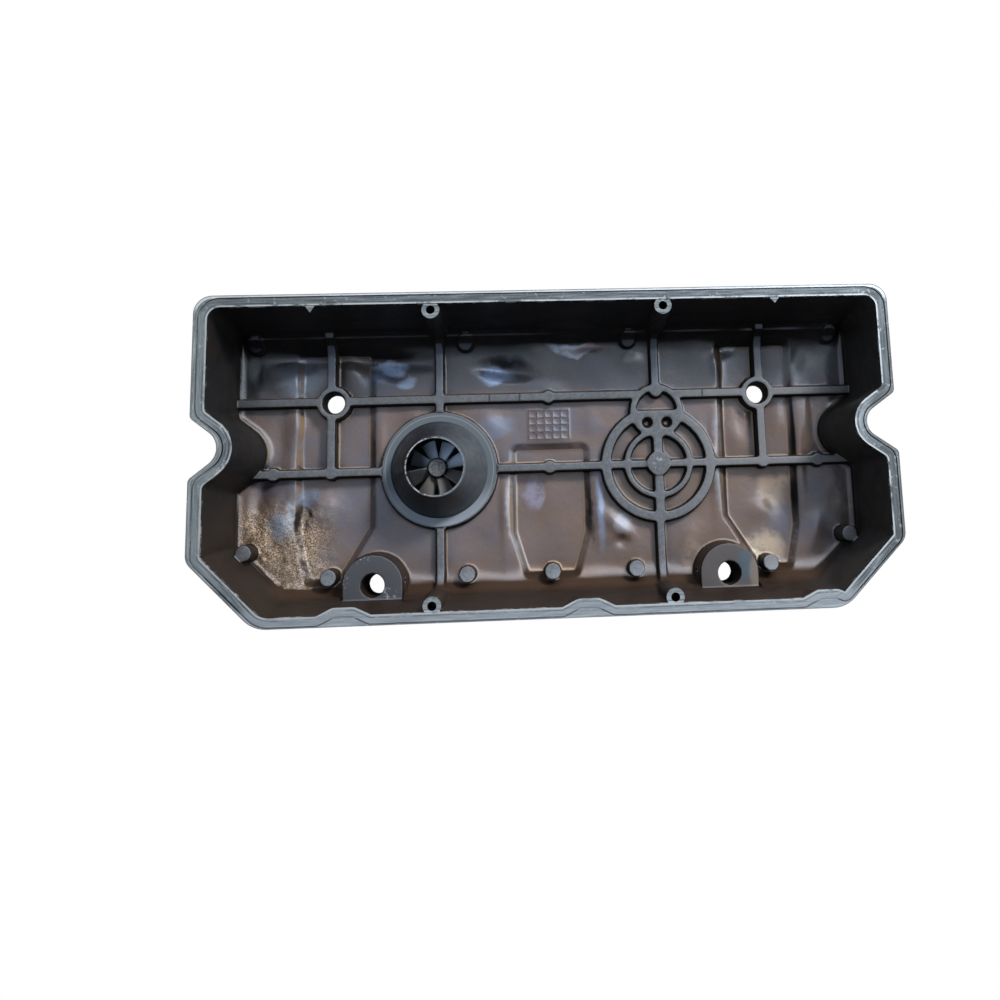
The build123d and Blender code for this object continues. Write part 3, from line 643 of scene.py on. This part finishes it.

# painted shade where ribs meet the upper wall, in every corner, and as a dark band towards the walls
openness = [
    add_node(tree, "ShaderNodeAmbientOcclusion", {"Distance": reach}, samples=6, only_local=True)
    for reach in (0.055, 0.007)
]
wide, close = (node.outputs["AO"] for node in openness)
below_rim = inverse(tree, ramp(tree, z, 0.075, 0.085))
colour = layered(
    tree,
    colour,
    (land, ramp(tree, level, 0.0165, 0.016), ramp(tree, y, 0.1035, 0.1050), (0.012, 0.012, 0.013)),
    (ramp(tree, wide, 0.62, 0.25), below_rim, 0.75, (0.022, 0.016, 0.013)),
    (ramp(tree, close, 0.62, 0.28), 0.9, (0.009, 0.008, 0.008)),
)

# machined rim: lay marks run along its edges, brighter on the lip outside the groove
lay_place = add_node(
    tree,
    "ShaderNodeCombineXYZ",
    {0: times(tree, from_outside, 700.0), 1: times(tree, x, 40.0), 2: times(tree, y, 40.0)},
).outputs[0]
lay = noise(tree, lay_place, 1.0, 5.0, 0.7)
rim_top = times(tree, ramp(tree, z, 0.0886, 0.0889), up)
off_rim = inverse(tree, rim_top)
band_colour = blend(tree, ramp(tree, lay, 0.34, 0.66), (0.12, 0.135, 0.142, 1), (0.40, 0.42, 0.43, 1))
lip_colour = blend(tree, ramp(tree, lay, 0.36, 0.62), (0.12, 0.13, 0.13, 1), (0.60, 0.62, 0.61, 1))
rim_colour = blend(tree, ramp(tree, from_outside, 0.0026, 0.0018), band_colour, lip_colour)
lip_line = band(tree, from_outside, 0.0002, 0.0006, 0.0020, 0.0028)
inner_line = band(tree, from_inside, 0.0014, 0.0019, 0.0022, 0.0028)
flecks = times(tree, ramp(tree, from_inside, 0.0016, 0.0007), ramp(tree, cloud, 0.36, 0.5), 0.9)
for centre in TORN_EDGES:
    torn = times(
        tree,
        spot(tree, x, y, centre, (6, 8)),
        ramp(tree, from_inside, 0.004, 0.002),
        ramp(tree, grit, 0.42, 0.5),
    )
    flecks = maths(tree, "MAXIMUM", flecks, torn)
groove = times(
    tree,
    ramp(tree, z, 0.0898, 0.0895),
    ramp(tree, from_outside, 0.0060, 0.0055),
    ramp(tree, x, -0.262, -0.250, 0.3, 0.95),
    ramp(tree, y, -0.118, -0.105, 0.6, 1.0),
)
rim_colour = layered(
    tree,
    rim_colour,
    # left, right, far and near side
    (ramp(tree, x, -0.245, -0.257), 0.35, (0.42, 0.46, 0.44)),
    (ramp(tree, x, 0.245, 0.257), 0.6, (0.07, 0.075, 0.07)),
    (ramp(tree, y, 0.110, 0.116), 0.4, (0.07, 0.075, 0.08)),
    (ramp(tree, y, -0.108, -0.115), 0.45, (0.62, 0.65, 0.69)),
    # bright far lip, dull outer edge, torn inner edge and the line beside it
    (ramp(tree, y, 0.110, 0.1175), lip_line, 0.9, (0.92, 0.92, 0.92)),
    (ramp(tree, from_outside, 0.0010, 0.0004), ramp(tree, lay, 0.35, 0.6), 0.7, (0.06, 0.065, 0.065)),
    (flecks, (0.68, 0.70, 0.69)),
    (inner_line, ramp(tree, mottle, 0.4, 0.55), 0.6, (0.06, 0.065, 0.07)),
    # worn places, and the groove made nearly black
    (ramp(tree, noise(tree, place, 190.0, 4.0, 0.7), 0.58, 0.66), 0.6, (0.55, 0.56, 0.55)),
    (groove, (0.012, 0.012, 0.012)),
)
colour = blend(tree, rim_top, colour, rim_colour)
chipped = ramp(tree, noise(tree, place, 85.0, 5.0, 0.75), 0.5, 0.6)
rim_side = times(tree, band(tree, z, 0.0868, 0.0880, 0.0898, 0.0905), inverse(tree, up))
colour = layered(tree, colour, (rim_side, chipped, (0.42, 0.41, 0.39)))
tree.links.new(colour, skin.inputs["Base Color"])

# a film of oil makes the floor glossy; the lands and the grit are duller, and the rim is bare metal
shine = ramp(tree, mottle, 0.3, 0.7, 0.28, 0.38)
shine = mixed_value(tree, land, shine, 0.48)
shine = mixed_value(tree, gritty, shine, 0.42)
shine = mixed_value(tree, up, 0.6, shine)
film = times(tree, up, off_rim, inverse(tree, land), inverse(tree, foot))
for socket, value in (
    ("Roughness", shine),
    ("Metallic", mixed_value(tree, rim_top, 0.25, 0.7)),
    ("Coat Weight", ramp(tree, film, 0.0, 1.0, 0.08, 0.9)),
    ("Coat Roughness", ramp(tree, cloud, 0.35, 0.6, 0.13, 0.26)),
    ("Specular IOR Level", ramp(tree, up, 0.0, 1.0, 0.12, 0.5)),
):
    tree.links.new(value, skin.inputs[socket])
waves = times(tree, noise(tree, place, 95.0, 3.0, 0.55), up, off_rim, ramp(tree, land, 0, 1, 0.8, 0.2))
height = maths(tree, "ADD", times(tree, fine, 0.14), times(tree, gritty, up, grit))
height = maths(tree, "ADD", height, waves)
bump = add_node(tree, "ShaderNodeBump", {"Height": height, "Strength": 0.8, "Distance": 0.0007})
tree.links.new(bump.outputs[0], skin.inputs["Normal"])

casting.data.materials.clear()
casting.data.materials.append(casting_look)
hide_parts("cover_casting")
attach(casting, "cover")

# --- Filler throat -----------------------------------------------------------------------------
# A black moulded cone stands in the left-hand ring, with a hub and pitched vanes across it.
# It is one moulding in heat-resistant plastic, pushed into the ring from inside.

FILLER_X, FILLER_Y = -90.7 * MM, -8.2 * MM


def soften_edges(piece, width):
    """Small rounds on the sharp edges of a moulded piece."""
    edge = piece.modifiers.new("edges", "BEVEL")
    edge.width = width
    edge.segments = 2
    edge.limit_method = "ANGLE"
    edge.angle_limit = math.radians(35)


throat = finished(merged_copy("filler_throat"), "filler_throat_surface")
soften_edges(throat, 0.5 * MM)
throat_look, tree, skin = shader("black_moulding")
place = add_node(tree, "ShaderNodeTexCoord").outputs["Object"]
x, y, z = add_node(tree, "ShaderNodeSeparateXYZ", {0: place}).outputs
normal = add_node(tree, "ShaderNodeNewGeometry").outputs["Normal"]
rightward, backward, facing = add_node(tree, "ShaderNodeSeparateXYZ", {0: normal}).outputs
out_x, out_y = maths(tree, "SUBTRACT", x, FILLER_X), maths(tree, "SUBTRACT", y, FILLER_Y)
radius = maths(tree, "SQRT", maths(tree, "ADD", times(tree, out_x, out_x), times(tree, out_y, out_y)))
up = ramp(tree, facing, 0.8, 0.95)
scuff = noise(tree, place, 90.0, 4.0, 0.6)
fine = noise(tree, place, 600.0, 3.0, 0.6)
# painted shade makes the cone blackest on its left side, and painted light makes it paler on its right
side = ramp(tree, maths(tree, "ADD", times(tree, rightward, 0.95), times(tree, backward, 0.12)), -0.3, 0.8)
colour = blend(tree, side, (0.004, 0.005, 0.009, 1), (0.072, 0.084, 0.098, 1))
colour = layered(tree, colour, (ramp(tree, scuff, 0.45, 0.7), 0.5, (0.04, 0.04, 0.04)))
flange = times(tree, up, ramp(tree, radius, 0.0375, 0.0385))
# painted light on the near side of the flange
near_side = ramp(tree, out_y, -0.010, -0.030)
flange_colour = blend(tree, near_side, (0.115, 0.135, 0.155, 1), (0.24, 0.28, 0.33, 1))
colour = blend(tree, flange, colour, flange_colour)
mouth = ramp(tree, z, 0.0592, 0.0597)
nicked = times(
    tree,
    mouth,
    band(tree, radius, 0.0223, 0.0226, 0.0231, 0.0235),
    ramp(tree, noise(tree, place, 300.0, 3.0, 0.7), 0.42, 0.54),
    ramp(tree, out_x, 0.012, -0.008, 0.25, 0.85),
)
# a pale ring on the flange, a painted bluish reflection on the right of the mouth, and nicks in the mouth's
# edge
colour = layered(
    tree,
    colour,
    (up, band(tree, radius, 0.0438, 0.0441, 0.0444, 0.0447), 0.7, (0.30, 0.32, 0.34)),
    (mouth, ramp(tree, out_x, -0.005, 0.01), (0.10, 0.12, 0.14)),
    (nicked, (0.50, 0.50, 0.49)),
)
# vanes: a painted bluish reflection behind the hub, dull before it, and painted shade at the left
inside = times(tree, ramp(tree, radius, 0.0225, 0.0215), ramp(tree, facing, 0.3, 0.5))
vane = blend(tree, ramp(tree, out_y, -0.004, 0.008), (0.17, 0.165, 0.16, 1), (0.62, 0.74, 0.95, 1))
vane = layered(tree, vane, (ramp(tree, out_x, -0.004, -0.014, 0.0, 0.85), (0.035, 0.036, 0.04)))
colour = blend(tree, inside, colour, vane)
# a painted shadow in a ring round the hub
hub_foot = band(tree, radius, 0.0062, 0.0066, 0.0082, 0.0090)
colour = layered(tree, colour, (hub_foot, 0.85, (0.006, 0.006, 0.007)))
hub = times(tree, ramp(tree, radius, 0.0066, 0.0061), ramp(tree, facing, 0.6, 0.8))
hub_colour = blend(tree, ramp(tree, fine, 0.4, 0.6), (0.06, 0.065, 0.07, 1), (0.16, 0.165, 0.17, 1))
colour = blend(tree, hub, colour, hub_colour)
tree.links.new(colour, skin.inputs["Base Color"])
tree.links.new(ramp(tree, scuff, 0.3, 0.7, 0.28, 0.45), skin.inputs["Roughness"])
throat.data.materials.clear()
throat.data.materials.append(throat_look)
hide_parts("filler_throat")
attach(throat, "cover")

# --- Filler cap and its seal ---------------------------------------------------------------------
# The cap closes the ring from outside: a black plastic bayonet plug with a grip bar in its dish,
# and a flat rubber ring behind its plate.

for node, slot, width in (("filler_cap", "cap", 0.5), ("cap_seal", "seal", 0.15)):
    part = finished(merged_copy(node), node + "_surface")
    soften_edges(part, width * MM)
    look, tree, skin = shader(node + "_finish")
    place = add_node(tree, "ShaderNodeTexCoord").outputs["Object"]
    scuff = noise(tree, place, 120.0, 4.0, 0.6)
    tree.links.new(
        blend(tree, ramp(tree, scuff, 0.4, 0.7), (0.016, 0.016, 0.017, 1), (0.03, 0.03, 0.031, 1)),
        skin.inputs["Base Color"],
    )
    tree.links.new(ramp(tree, scuff, 0.3, 0.7, 0.4, 0.6), skin.inputs["Roughness"])
    part.data.materials.clear()
    part.data.materials.append(look)
    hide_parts(node)
    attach(part, "cap")

# --- Floor, light and camera ---------------------------------------------------------------------
# The cover lies on a plain white floor. A soft window stands beyond its far right corner, and a wide,
# dim sky lamp fills in from the left.

slab = bmesh.new()
bmesh.ops.create_grid(slab, x_segments=1, y_segments=1, size=3.0)
floor = finished(slab, "floor")
floor_look, tree, skin = shader("white_floor")
skin.inputs["Base Color"].default_value = (0.9, 0.9, 0.9, 1)
skin.inputs["Roughness"].default_value = 0.9
white = add_node(tree, "ShaderNodeEmission", {"Color": (1, 1, 1, 1), "Strength": 1.0})
light_path = add_node(tree, "ShaderNodeLightPath")
seen = maths(tree, "MAXIMUM", light_path.outputs["Is Camera Ray"], light_path.outputs["Is Transmission Ray"])
mixed = add_node(tree, "ShaderNodeMixShader", {0: seen, 1: skin.outputs[0], 2: white.outputs[0]})
tree.links.new(mixed.outputs[0], tree.nodes["Material Output"].inputs["Surface"])
floor.data.materials.append(floor_look)
floor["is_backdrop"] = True

world = bpy.data.worlds.new("studio")
bpy.context.scene.world = world
world.use_nodes = True
tree = world.node_tree
sky = tree.nodes["Background"]
light_path = add_node(tree, "ShaderNodeLightPath")
seen = maths(tree, "MAXIMUM", light_path.outputs["Is Camera Ray"], light_path.outputs["Is Transmission Ray"])
bearing = add_node(tree, "ShaderNodeTexCoord").outputs["Generated"]
climb = add_node(tree, "ShaderNodeSeparateXYZ", {0: bearing}).outputs[2]
toward = toward_window(tree, bearing)
# what glossy sides see: a pale ceiling, a bright side towards the window and a dark one away from it
ceiling = ramp(tree, climb, 0.88, 1.0, 0.38, 0.62)
ceiling = times(tree, ceiling, ramp(tree, toward, -0.55, -0.1, 0.25, 1.0))
ceiling = maths(tree, "ADD", ceiling, ramp(tree, toward, 0.24, 0.56, 0.0, 3.6))
strength = mixed_value(tree, light_path.outputs["Is Glossy Ray"], 0.27, ceiling)
strength = mixed_value(tree, seen, strength, 1.0)
tree.links.new(strength, sky.inputs["Strength"])
tint = blend(tree, light_path.outputs["Is Camera Ray"], (0.76, 0.87, 1.0, 1), (1, 1, 1, 1))
tree.links.new(tint, sky.inputs["Color"])

for name, stand, size, power, tint in (
    ("window", (1.15, 1.35, 1.75), 0.5, 68.0, (1.0, 0.98, 0.95)),
    ("sky", (-1.5, 0.5, 2.0), 1.4, 12.0, (0.72, 0.84, 1.0)),
):
    lamp = bpy.data.lights.new(name, "AREA")
    lamp.size = size
    lamp.energy = power
    lamp.color = tint
    light = bpy.data.objects.new(name, lamp)
    aim = Vector(stand).to_track_quat("Z", "Y").to_matrix().to_4x4()
    light.matrix_world = Matrix.Translation(stand) @ aim
    light.visible_glossy = False
    bpy.context.scene.collection.objects.link(light)

CAMERA_PLACE = (-0.0134725, -0.0597501, 0.887831)
CAMERA_FORWARD = (0.06584141, 0.16951532, -0.98332572)
CAMERA_UPWARD = (0.0217623, 0.98498573, 0.17125864)

view = bpy.data.cameras.new("camera")
view.lens = 37.62
view.sensor_width = 36.0
view.shift_x = -0.1
view.shift_y = -0.152
view.clip_start = 0.05
camera = bpy.data.objects.new("camera", view)
forward = Vector(CAMERA_FORWARD).normalized()
right = forward.cross(Vector(CAMERA_UPWARD)).normalized()
upward = right.cross(forward)
turned = Matrix((right, upward, -forward)).transposed().to_4x4()
camera.matrix_world = Matrix.Translation(CAMERA_PLACE) @ turned
bpy.context.scene.collection.objects.link(camera)
bpy.context.scene.camera = camera
bpy.context.scene.view_settings.view_transform = "Standard"

low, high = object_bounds()
